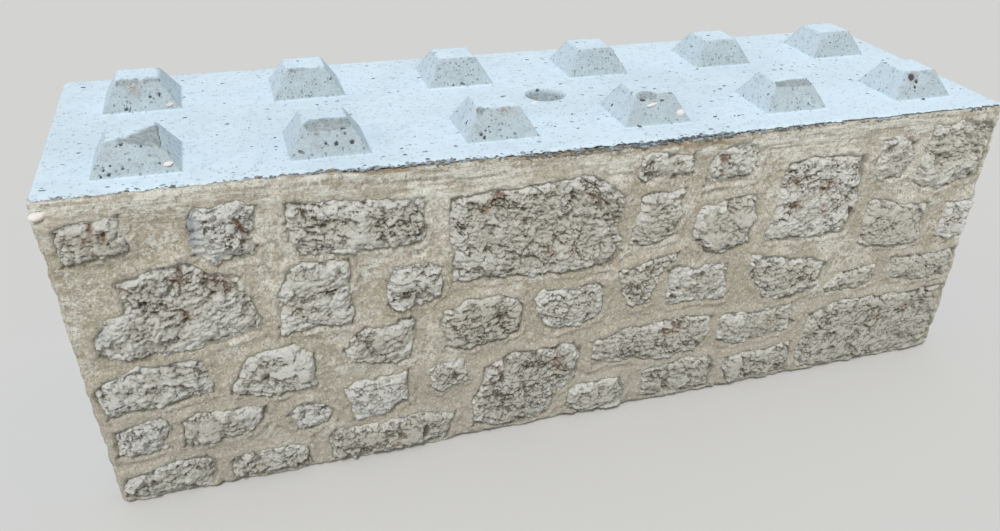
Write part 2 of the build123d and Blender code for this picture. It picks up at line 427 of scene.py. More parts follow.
# A closed box of quads with its deck still flat, finer where studs, bowl and pockets will be
edge_gaps = (0.0, EDGE_LINE, RIM_ROUND, CORNER_ROUND)
end_stops = [BODY_LOW[0] + gap for gap in edge_gaps]
x_stops = end_stops + stud_stops(BODY_LOW[0], BODY_HIGH[0]) + [-stop for stop in end_stops[::-1]]
back_stops = [BODY_HIGH[1] - gap for gap in edge_gaps[::-1]]
y_stops = [BODY_LOW[1], BODY_LOW[1] + 0.006, CORE_FRONT] + stud_stops(CORE_FRONT, BODY_HIGH[1]) + back_stops
z_stops = [0.0, LAP_UNDERSIDE - 0.008, LAP_UNDERSIDE] + [DECK_LEVEL - gap for gap in edge_gaps[2::-1]]
shell = box_shell(lines(x_stops, DECK_STEP), lines(y_stops, DECK_STEP), lines(z_stops, SIDE_STEP))
top = DECK_LEVEL - 0.001
refine(shell, 3, lambda place: place.z > top and max(abs(place.x), abs(place.y)) < FINE_BOWL)
refine(shell, 5, lambda place: place.z > top and stud_reach(place) < FINE_STUD and place.y < 0)
refine(shell, 3, lambda place: place.z > top and stud_reach(place) < FINE_STUD and place.y > 0)
refine(shell, 2, lambda place: place.z > top and place.y < BODY_LOW[1] + 0.008)
refine(shell, 1, lambda place: place.z < 0.001 and stud_reach(place) < FINE_POCKET)
bmesh.ops.triangulate(shell, faces=[face for face in shell.faces if len(face.verts) > 4])
for face in list(shell.faces):
    middle = face.calc_center_median()
    on_flank = STUD_TOP / 2 < stud_reach(middle) < STUD_BASE / 2
    if len(face.verts) == 4 and abs(face.normal.z) > 0.9 and on_flank:
        hip = [vertex for vertex in face.verts if on_hip(vertex.co)]
        if len(hip) == 2 and on_hip(middle):
            bmesh.utils.face_split(face, hip[0], hip[1])
for vertex in shell.verts:
    if vertex.co.z < LAP_UNDERSIDE - 0.001:
        vertex.co.y = max(vertex.co.y, CORE_FRONT)
bmesh.ops.remove_doubles(shell, verts=shell.verts, dist=SAME_PLACE)
mesh = bpy.data.meshes.new("cast_body")
shell.to_mesh(mesh)
shell.free()

# What the tree and the material read at each point: breaks, holes, soil and the deck's front edge
points = points_of(mesh)
x, y, z = points.T
on_deck = z > DECK_LEVEL - SAME_PLACE
on_floor = z < SAME_PLACE
cut = np.full(len(points), 1.0)
for break_x, break_y, height, fall_x, fall_y, reach in BROKEN_EDGES:
    away = np.hypot(x - break_x, y - break_y)
    plane = height + fall_x * (x - break_x) + fall_y * (y - break_y)
    cut = np.minimum(cut, plane + np.maximum(away - reach, 0) * BREAK_END_SLOPE)
hole = np.zeros(len(points))
for hole_x, hole_y, radius in BLOWHOLES:
    away = np.hypot(x - hole_x, (y - hole_y) * FLANK_STRETCH)
    hole = np.maximum(hole, np.clip(1.5 - away / radius, 0, 1))
soil = np.zeros(len(points))
for spot_x, spot_y, radius in SOIL_SPOTS:
    away = np.hypot(x - spot_x, (y - spot_y) * SPOT_STRETCH)
    soil = np.maximum(soil, np.exp(-((away / radius) ** 2)))
seam_y = np.interp(x, *zip(*SEAM_RUN))
near_seam = np.clip((CORE_FRONT - y) / (CORE_FRONT - BODY_LOW[1]), 0, 1) * on_deck
points[:, 1] += near_seam * (seam_y - BODY_LOW[1])
carry(mesh, "seam", np.where(on_deck, points[:, 1] - seam_y, 1.0))
carry(mesh, "open", np.interp(x, *zip(*SEAM_OPEN)))
carry(mesh, "deck", on_deck)
carry(mesh, "floor", on_floor)
carry(mesh, "wall", ~on_deck)
carry(mesh, "cut", cut)
carry(mesh, "hole", hole * on_deck)
carry(mesh, "soil", soil * on_deck)

# Circles round the bowl, the floor's grid spread to the pockets, and the box's edges rounded
ring = np.maximum(abs(x), abs(y))
into_circle = np.clip((CIRCLE_REACH - ring) / CIRCLE_BLEND, 0, 1) * on_deck
points[:, :2] *= (1 - into_circle * (1 - ring / np.maximum(np.hypot(x, y), 1e-9)))[:, None]
stops = [0, STUD_TOP / 2, STUD_BASE / 2, STUD_PITCH / 2]
pocket_stops = [0, POCKET_ROOF / 2, POCKET_MOUTH / 2, STUD_PITCH / 2]
for axis in range(2):
    in_pitch = points[:, axis] % STUD_PITCH - STUD_PITCH / 2
    moved = np.sign(in_pitch) * np.interp(abs(in_pitch), stops, pocket_stops)
    points[:, axis] += np.where(on_floor, moved - in_pitch, 0)
end_gap = BODY_HIGH[0] - abs(points[:, 0])
back_gap = BODY_HIGH[1] - points[:, 1]
to_end = np.sign(points[:, :1]) * (1.0, 0, 0)
to_side = np.where((end_gap < back_gap)[:, None], to_end, (0, 1.0, 0))
side_gap = np.minimum(end_gap, back_gap)
points = rounded(points, RIM_ROUND, [(side_gap, to_side), (DECK_LEVEL - points[:, 2], (0, 0, 1.0))])
end_gap = BODY_HIGH[0] - abs(points[:, 0])
back_gap = BODY_HIGH[1] - points[:, 1]
points = rounded(points, CORNER_ROUND, [(end_gap, to_end), (back_gap, (0, 1.0, 0))])
mesh.vertices.foreach_set("co", points.astype(np.float32).ravel())
body = new_piece("cast_body", mesh)

tree, size = geometry_tree(
    "cast body",
    {
        "Stud pitch": STUD_PITCH,
        "Stud base": STUD_BASE,
        "Stud top": STUD_TOP,
        "Stud height": STUD_HEIGHT,
        "Stud edge": STUD_EDGE,
        "Pocket mouth": POCKET_MOUTH,
        "Pocket depth": POCKET_DEPTH,
        "Bowl radius": BOWL_RADIUS,
    },
)
mesh = size["Mesh"]
place = mesh.make("GeometryNodeInputPosition")
axes = [place.axis(index) for index in range(3)]
half_pitch = size["Stud pitch"] / 2.0
off_middle = [abs(axis.math("FLOORED_MODULO", axis, size["Stud pitch"]) - half_pitch) for axis in axes[:2]]
slope = size["Stud height"] * 2.0 / (size["Stud base"] - size["Stud top"])
reach = place.math("SMOOTH_MAX", *off_middle, size["Stud edge"] * 0.7)
full = (size["Stud base"] / 2.0 - reach) * slope
stud = place.math("SMOOTH_MIN", full, size["Stud height"], size["Stud edge"])
stud = place.math("SMOOTH_MAX", stud, 0.0, size["Stud edge"])
top_edge = abs(full - size["Stud height"]).ease(0.0, 0.012, 1.0, 0.0)
nibble = place.noise(70.0, 3.0, 0.6).ease(0.52, 0.72, 0.0, 0.003) * top_edge
rubble = (place.noise(55.0, 4.0, 0.62) - 0.5) * 0.007
broken = (place.read("cut") + rubble).low(stud - nibble)
wear_and_bowl_shade = (stud - broken).ease(0.0004, 0.0035)
# Flanks are greyer, partly for their rougher face and partly as painted shade; flanks that face the block's
# ends get less of it, as painted light
flank = stud.ease(0.0005, 0.004) * (size["Stud height"] + 0.004 - full).ease(0.0, 0.006)
bowl = ((size["Bowl radius"] ** 2.0 - axes[0] * axes[0] - axes[1] * axes[1]).high(0.0)) ** 0.5
side_flank_light = (off_middle[1] - off_middle[0]).ease(-0.003, 0.002, 1.0, 0.0)
# Painted shade in the lifting bowl: its wall takes the flank grey, and the darker grey deepest on its far and
# left side
bowl_wall = bowl.ease(0.0002, 0.003)
flank = (flank * (1.0 - side_flank_light * 0.62)).high(wear_and_bowl_shade).high(bowl_wall)
wear_and_bowl_shade = wear_and_bowl_shade.high(bowl_wall * (axes[1] * 11.0 - axes[0] * 7.0 + 0.6).high(0.1).low(1.0))
hollow = place.read("hole") * 0.004
uneven = (place.noise(7.0, 3.0) - 0.5) * 0.0016 + (place.noise(80.0, 2.0) - 0.5) * 0.0007
front_edge = place.read("seam").ease(0.0, 0.009, 1.0, 0.0)
ragged = (place.noise(62.0, 4.0, 0.65) - 0.49 + place.read("open") * 0.15) * 0.018 * front_edge
pocket = (size["Pocket mouth"] / 2.0 - off_middle[0].high(off_middle[1])) * slope
pocket = pocket.low(size["Pocket depth"]).high(0.0)
top = (broken - bowl - hollow + uneven - ragged.high(0.0)).low(size["Stud height"])
lift = place.read("deck") * top + place.read("floor") * pocket
mesh = mesh.marked("wear_and_bowl_shade", wear_and_bowl_shade * place.read("deck")).marked("flank", flank * place.read("deck"))
mesh = mesh.pushed(z=lift)
end_tree(tree, mesh, concrete)
grow(body, tree)
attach(body, "root")
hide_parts("block_body")

# Mortar bed
# Sand-coloured mortar that holds the facing stones. It was pressed round them by hand, so it
# is proud here and hollow there, and it wraps over the top edge up to the deck's seam.
MORTAR_LOW = np.array(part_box("facing_mortar")[0])
MORTAR_HIGH = np.array(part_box("facing_mortar")[1])
JOINT_FACE = MORTAR_LOW[1]
MORTAR_STEP = 0.0028
TOP_EDGE_ROUND = 0.010
TOP_EDGE_STEPS = 6
TOP_STEP = 0.0026
TOP_STEPS = 7
# How deep the mortar may be hollow and how far it may stand proud of the joint face
DEEPEST_HOLLOW = 0.012
PROUDEST_LIP = 0.0145
# The mortar's mesh is joined into large faces this far in behind the stones
COVERED = 0.011
# Ragged rims: how fine and how far they wander, and the seed and slice of the noise
RAGGED_SCALE = 26
RAGGED_REACH = 0.0052
RAGGED_SLICE = 3.7
RAGGED_SEED = 5
# Joints stand open mostly at rims that face this way in x and z
DOWN_RIGHT = (0.5, -0.87)
# Only places this near a stone's outline are measured against it
OUTLINE_MARGIN = 0.05
MORTAR_PALE = (0.88, 0.872, 0.775)
MORTAR_SAND = (0.765, 0.745, 0.66)
MORTAR_STAIN = (0.465, 0.41, 0.305)
MORTAR_LOW_SHADE = (0.47, 0.475, 0.45)
MORTAR_SOIL = (0.35, 0.255, 0.15)
MORTAR_DARK = (0.105, 0.085, 0.06)


def stone_outline(name):
    """A stone's corners seen from the front, in order, read from the back of its solid."""
    work = bmesh.new()
    work.from_mesh(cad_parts[name].data)
    bmesh.ops.remove_doubles(work, verts=work.verts, dist=0.00005)
    back = max(vertex.co.y for vertex in work.verts)
    rest = [face for face in work.faces if min(vertex.co.y for vertex in face.verts) < back - 0.001]
    bmesh.ops.delete(work, geom=rest, context="FACES")
    rim = [edge for edge in work.edges if edge.is_boundary]
    corners = []
    edge = rim[0]
    here = edge.verts[0]
    for _ in rim:
        corners.append((here.co.x, here.co.z))
        here = edge.other_vert(here)
        edge = next(other for other in here.link_edges if other.is_boundary and other != edge)
    work.free()
    return np.array(corners)


# Without a seed of its own, Blender's vector noise differs from run to run
noise.seed_set(RAGGED_SEED)


def wander(places):
    """Places on the facing, each moved by a smooth random step, so that straight edges turn ragged."""
    steps = []
    for x, z in places * RAGGED_SCALE:
        steps.append(noise.turbulence_vector(Vector((x, RAGGED_SLICE, z)), 3, False))
    return places + np.array(steps)[:, [0, 2]] * RAGGED_REACH


def rim_distance(places, corners):
    """How far places lie inside an outline (negative outside) and how much that edge faces down right."""
    nearest = np.full(len(places), 1e9)
    facing = np.zeros(len(places))
    inside = np.zeros(len(places), dtype=bool)
    for start, end in zip(corners, np.roll(corners, -1, axis=0)):
        along = end - start
        share = np.clip((places - start) @ along / (along @ along), 0, 1)
        gap = places - start - share[:, None] * along
        length = np.hypot(gap[:, 0], gap[:, 1])
        closer = length < nearest
        nearest = np.where(closer, length, nearest)
        facing = np.where(closer, gap @ DOWN_RIGHT / np.maximum(length, 1e-9), facing)
        if along[1]:
            crosses = (start[1] > places[:, 1]) != (end[1] > places[:, 1])
            inside ^= crosses & (places[:, 0] < start[0] + (places[:, 1] - start[1]) * along[0] / along[1])
    return np.where(inside, nearest, -nearest), np.where(inside, -facing, facing)


def grid_faces(across, up):
    """Quads between the points of a grid, for columns across and rows up."""
    column, row = np.meshgrid(np.arange(across), np.arange(up), indexing="ij")
    first = (column * (up + 1) + row).ravel()
    return np.stack([first, first + up + 1, first + up + 2, first + 1], axis=1)


def close_back(mesh, back, covered=None):
    """Merge the faces that stones cover, then carry the open rim back to a plane and cap it."""
    work = bmesh.new()
    work.from_mesh(mesh)
    front = work.verts.layers.float.new("front")
    for vertex in work.verts:
        vertex[front] = 1.0
    if covered is not None:
        faces = [face for face in work.faces if all(covered[vertex.index] for vertex in face.verts)]
        bmesh.ops.dissolve_faces(work, faces=faces, use_verts=True)
    rim = [edge for edge in work.edges if edge.is_boundary]
    for vertex in bmesh.ops.extrude_edge_only(work, edges=rim)["geom"]:
        if isinstance(vertex, bmesh.types.BMVert):
            vertex.co.y = back
            vertex.co.z = min(vertex.co.z, LAP_UNDERSIDE)
            vertex[front] = 0.0
    bmesh.ops.holes_fill(work, edges=[edge for edge in work.edges if edge.is_boundary])
    bmesh.ops.recalc_face_normals(work, faces=work.faces)
    work.to_mesh(mesh)
    work.free()


def open_joint(place, side):
    """1 where the mortar stands off a stone's rim and 0 where it laps over it."""
    return (place.noise(23.0, 3.0) + side * 0.18).ease(0.50, 0.62)


stone_names = sorted(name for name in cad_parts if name.startswith("facing_stone"))
outlines = {name: stone_outline(name) for name in stone_names}

mortar, shader, place = new_material("sand_mortar")
cover = place.read("cover")
side = place.read("side")
height = place.read("height")
cloud = place.noise(11.0, 5.0, 0.65)
smear = place.noise(32.0, 4.0, 0.65)
crust = place.noise(120.0, 4.0, 0.7)
grain = place.noise(230.0, 4.0, 0.75)
# Painted highlight: raised places of the mortar are paler and take less stain, and its hollows are darker as
# painted shade
color = (smear * 0.6 + cloud * 0.6 - height * 0.42).ease(0.36, 0.76).blend(MORTAR_PALE, MORTAR_SAND)
# Brown stains, with painted shade near the stones, low down and through the middle; darker at the left end,
# and paler towards the top and the right end
near = cover.ease(-0.030, -0.004)
low = place.axis(2).ease(0.42, 0.02)
# Paler towards the top, and towards the right end, more so higher up
paler_top_and_right = place.axis(2).ease(0.46, 0.56, 0.0, 0.4)
paler_top_and_right = paler_top_and_right + place.axis(0).ease(0.2, 0.8) * place.axis(2).ease(0.0, 0.56, 0.4, 0.9)
stain_and_shade = cloud + near * 0.24 + low * 0.10 + place.axis(2).ease(0.52, 0.34, 0.0, 0.06) + (smear - 0.5) * 0.65
stain_and_shade = stain_and_shade - height * 0.16 - side * near * 0.05 - paler_top_and_right * 0.16
stain_and_shade = stain_and_shade + place.axis(0).ease(-0.55, -0.85, 0.0, 0.06)
stain_and_shade = stain_and_shade + place.axis(0).ease(-0.10, 0.10) * place.axis(0).ease(0.50, 0.35) * low * 0.30
color = (stain_and_shade.ease(0.42, 0.84) * 0.76).blend(color, MORTAR_STAIN)
color = ((crust - height * 0.22 - paler_top_and_right * 0.03).ease(0.49, 0.61) * 0.80).blend(color, MORTAR_STAIN)
# Sandy grain, and the trowel's streaks along the band at the top
band = place.axis(2).ease(0.528, 0.545)
streak = place.stirred(9.0, 0.016).vector("MULTIPLY", (0.1, 1.0, 1.0)).noise(150.0, 4.0, 0.65)
color = (grain.ease(0.49, 0.59) * (0.80 - band * 0.30)).blend(color, MORTAR_STAIN)
color = (streak.ease(0.50, 0.60) * band * 0.5).blend(color, MORTAR_STAIN)
color = (streak.ease(0.47, 0.40) * band * 0.5).blend(color, MORTAR_PALE)
color = ((0.455 - grain).ease(0.0, 0.09) * (0.80 - band * 0.3)).blend(color, MORTAR_PALE)
# Painted shade towards the bottom
color = (low * 0.22).blend(color, MORTAR_LOW_SHADE)
# Small dark grains, and painted shadow in dark lines where a joint stands open
speck_place = place.stirred(200.0, 0.003)
speck_pick = speck_place.cells(150.0, 1).axis(0)
speck = (0.26 - speck_place.cells(150.0)).ease(0.0, 0.12) * speck_pick.over(0.86)
color = (speck * 0.5).blend(color, MORTAR_DARK)
line_mask = open_joint(place, side)
line = (cover + (crust - 0.5) * 0.004).ease(-0.0018, 0.0002) * line_mask
color = (line * 0.42).blend(color, MORTAR_DARK)
# Soil along the deck's seam, a band of the soil colour under the lip, and painted shade where the seam stands
# open
seam = place.read("seam")
open_here = place.read("open")
soil_here = place.read("soil")
soil = (seam + (smear - 0.5) * 0.024 + (crust - 0.5) * 0.010 + soil_here * 0.005).ease(-0.0085, -0.0035)
color = (soil * (0.15 + soil_here * 0.65)).blend(color, MORTAR_SOIL)
# A brown band just under the lip, between x 0.05 and 0.31
under_lip = abs(place.axis(2) + smear * 0.03 - 0.602).ease(0.0010, 0.0060, 1.0, 0.0)
under_lip = under_lip * place.axis(0).ease(0.05, 0.12) * place.axis(0).ease(0.31, 0.25)
color = (under_lip * 0.7).blend(color, MORTAR_SOIL)
# Painted shade in the open seam
open_seam_shade = (seam + (smear - 0.5) * 0.016 + (crust - 0.5) * 0.010).ease(-0.0030, 0.0)
color = (open_seam_shade * crust.ease(0.44, 0.57) * (0.04 + open_here * 0.36)).blend(color, MORTAR_DARK)
relief = grain * 1.6 + crust * 2.4 - speck * 0.5 - streak * band * 1.6
finish_material(shader, color, cloud.ease(0.2, 0.8, 0.86, 0.97), relief, 0.0025)

# A sheet up the joint face, round the top edge and back under the deck's front edge
straight = DECK_LEVEL - TOP_EDGE_ROUND
rows = round(straight / MORTAR_STEP)
profile = [(JOINT_FACE, straight * row / rows) for row in range(rows + 1)]
for step in range(1, TOP_EDGE_STEPS + 1):
    turn = math.radians(90 * step / TOP_EDGE_STEPS)
    back_by = TOP_EDGE_ROUND * (1 - math.cos(turn))
    profile.append((JOINT_FACE + back_by, straight + TOP_EDGE_ROUND * math.sin(turn)))
for step in range(1, TOP_STEPS + 1):
    profile.append((JOINT_FACE + TOP_EDGE_ROUND + TOP_STEP * step, DECK_LEVEL))
profile = np.array(profile)
columns = round((MORTAR_HIGH[0] - MORTAR_LOW[0]) / MORTAR_STEP)
x_places = np.linspace(MORTAR_LOW[0], MORTAR_HIGH[0], columns + 1)
grid_x, row = np.meshgrid(x_places, np.arange(len(profile)), indexing="ij")
vertices = np.stack([grid_x.ravel(), profile[row.ravel(), 0], profile[row.ravel(), 1]], axis=1)
# How far in behind a stone each point lies, and which way that stone's rim faces
flat = wander(vertices[:, [0, 2]])
cover = np.full(len(vertices), -1.0)
side = np.zeros(len(vertices))
for corners in outlines.values():
    above = flat > corners.min(0) - OUTLINE_MARGIN
    below = flat < corners.max(0) + OUTLINE_MARGIN
    near = np.flatnonzero(np.all(above & below, axis=1))
    distance, facing = rim_distance(flat[near], corners)
    closer = distance > cover[near]
    cover[near[closer]] = distance[closer]
    side[near[closer]] = facing[closer]
mesh = bpy.data.meshes.new("mortar_bed")
mesh.from_pydata(vertices.tolist(), [], grid_faces(columns, len(profile) - 1).tolist())
on_top = vertices[:, 2] > straight + 0.002
carry(mesh, "seam", np.where(on_top, vertices[:, 1] - np.interp(vertices[:, 0], *zip(*SEAM_RUN)), -1.0))
carry(mesh, "open", np.interp(vertices[:, 0], *zip(*SEAM_OPEN)))
carry(mesh, "soil", np.interp(vertices[:, 0], *zip(*SEAM_SOIL)))
carry(mesh, "cover", cover)
carry(mesh, "side", side)
close_back(mesh, MORTAR_HIGH[1], cover > COVERED)
bed = new_piece("mortar_bed", mesh)

tree, size = geometry_tree(
    "mortar bed", {"Joint face": JOINT_FACE, "Waviness": 0.006, "Lip": 0.0075, "Half length": MORTAR_HIGH[0]}
)
mesh = size["Mesh"]
place = mesh.make("GeometryNodeInputPosition")
x, y, z = [place.axis(index) for index in range(3)]
cover = place.read("cover")
front = place.read("front")
# Waves and crust, and the lip that laps over the stones' rims where their joint is closed
wave = (place.noise(7.0, 3.0, 0.5) - 0.5) * size["Waviness"] + (place.noise(26.0, 4.0, 0.65) - 0.5) * 0.0060
crust = place.stirred(60.0, 0.006).noise(80.0, 4.0, 0.75)
crust = (crust - 0.5) * 0.0085 + (place.noise(150.0, 3.0, 0.7) - 0.5) * 0.0045
crust = crust - place.noise(60.0, 3.0, 0.6).ease(0.58, 0.72) * 0.0026
side = place.read("side")
rim = cover + (place.noise(36.0, 3.0, 0.6) - 0.5) * 0.020
opened = open_joint(place, side)
lip = rim.ease(-0.020, -0.003) * (1.0 - opened * cover.ease(-0.007, -0.001) * 0.9)
lip = lip * place.noise(17.0, 4.0, 0.6).ease(0.36, 0.62, 0.15, 1.0) * size["Lip"]
gap = cover.ease(-0.0035, 0.0) * opened * 0.003
dive = cover.ease(0.0015, 0.008) * 0.011
# Trowel marks along the top, then rounded ends, the foot and the top edge
streak = place.vector("MULTIPLY", (6.0, 1.0, 95.0)).stirred(1.5, 0.9).noise(1.0, 3.0, 0.55)
trowel = (streak - 0.5) * 0.0050 + streak.ease(0.44, 0.54, -0.0012, 0.0012)
trowel = trowel * z.ease(0.530, 0.555) * cover.ease(-0.012, -0.006, 1.0, 0.0)
trowel = trowel * place.noise(5.0).ease(0.35, 0.6, 0.3, 1.0)
round_end = abs(x).ease(size["Half length"] - 0.014, size["Half length"]) ** 2.0 * 0.008
foot = z.ease(0.0, 0.016, 1.0, 0.0)
on_top = y.ease(size["Joint face"] + 0.004, size["Joint face"] + 0.010)
out = (wave + crust + lip - gap + trowel + 0.001) * (1.0 - on_top * 0.7)
out = out - dive - round_end - foot * foot * 0.006
out = out.high(-DEEPEST_HOLLOW).low(PROUDEST_LIP)
height = (wave + crust + trowel + lip * 0.3) / 0.0035
end_in = abs(x).ease(size["Half length"] - 0.008, size["Half length"])
end_in = end_in * place.noise(30.0, 3.0).ease(0.3, 0.8) * 0.005
# Sunk where the seam stands open, lumpy in front of it, and raised here and there at the foot
seam = place.read("seam")
soil = place.read("soil")
opening = place.read("open") * (0.001 + place.noise(70.0, 2.0) * 0.004)
sink = (seam + soil * 0.004).ease(-0.007, 0.0) * (0.0004 + opening * 0.8 + soil * 0.0018)
sink = sink + seam.ease(-0.001, 0.002) * 0.0015
bulge = on_top * (place.noise(30.0, 3.0, 0.6) - 0.42) * 0.011 * seam.ease(-0.004, 0.0002, 1.0, 0.0)
raise_foot = foot * place.noise(21.0, 3.0, 0.6).ease(0.35, 0.75, 0.001, 0.009)
mesh = mesh.marked("height", height).pushed(
    x=x.math("SIGN", x) * end_in * front * -1.0,
    y=out * front * -1.0,
    z=(bulge.low(0.0035) - sink + raise_foot) * front,
)
end_tree(tree, mesh, mortar)
grow(bed, tree)
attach(bed, "root")
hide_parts("facing_mortar")

# Facing stones
# Broken limestone pieces, each with its own outline, set in the mortar with the rough face out.
# Rims are pale and smoother; the middles are pitted by weather, with brown in the hollows, deepened there by
# painted shade.
STONE_STEP = 0.0018
# Each stone's mesh is cut from a grid this much larger than its outline, this far past its rim
STONE_MARGIN = 0.010
STONE_RIM = 0.0065
# Past the rim the stone slopes back into the mortar: how deep it starts, and how steeply
RIM_SINK = 0.002
RIM_SLOPE = 1.2
# No stone may come past the frame's front, at y -0.3, or nearer than this to its ends and its deck
FRONT_LIMIT = -0.2997
STONE_CLEAR = 0.001
# Where the rays start that find a solid's face, in front of it
RAY_START = -0.4
# Share of pits on the smoother stones
FEW_PITS = 0.4
STONE_WHITE = (0.875, 0.87, 0.82)
STONE_PALE = (0.815, 0.815, 0.75)
STONE_HEART = (0.66, 0.64, 0.55)
STONE_LOW_SHADE = (0.24, 0.265, 0.265)
STONE_HOLLOW = (0.17, 0.14, 0.10)
STONE_RUST = (0.27, 0.135, 0.065)
STONE_BLUE = (0.30, 0.34, 0.40)
# Stones that are paler or browner than the rest, by number: above 0 is paler, below 0 browner
STONE_TONES = {
    1: -0.4, 2: 1.9, 3: 0.2, 4: 0.4, 5: 0.4, 6: 0.5, 9: 0.9, 11: -0.2, 12: 0.6, 13: 0.5, 15: -0.5,
    16: 0.6, 18: -1.0, 19: -0.9, 20: -0.1, 21: -1.3, 22: 0.5, 23: -0.5, 24: 0.4, 25: 0.6, 26: 0.4,
    27: 1.9, 28: -0.2, 29: 1.2, 30: 0.9, 31: -0.2, 33: -0.4, 35: -0.9, 37: -0.5, 38: -0.7, 39: 0.2,
    41: -1.2,
}
# Stones with few pits
SMOOTH_STONES = (1, 4, 5, 10, 11, 13, 14, 15, 18, 19, 20, 25, 26, 28, 29, 34, 35, 36, 37, 38, 39, 40, 41)
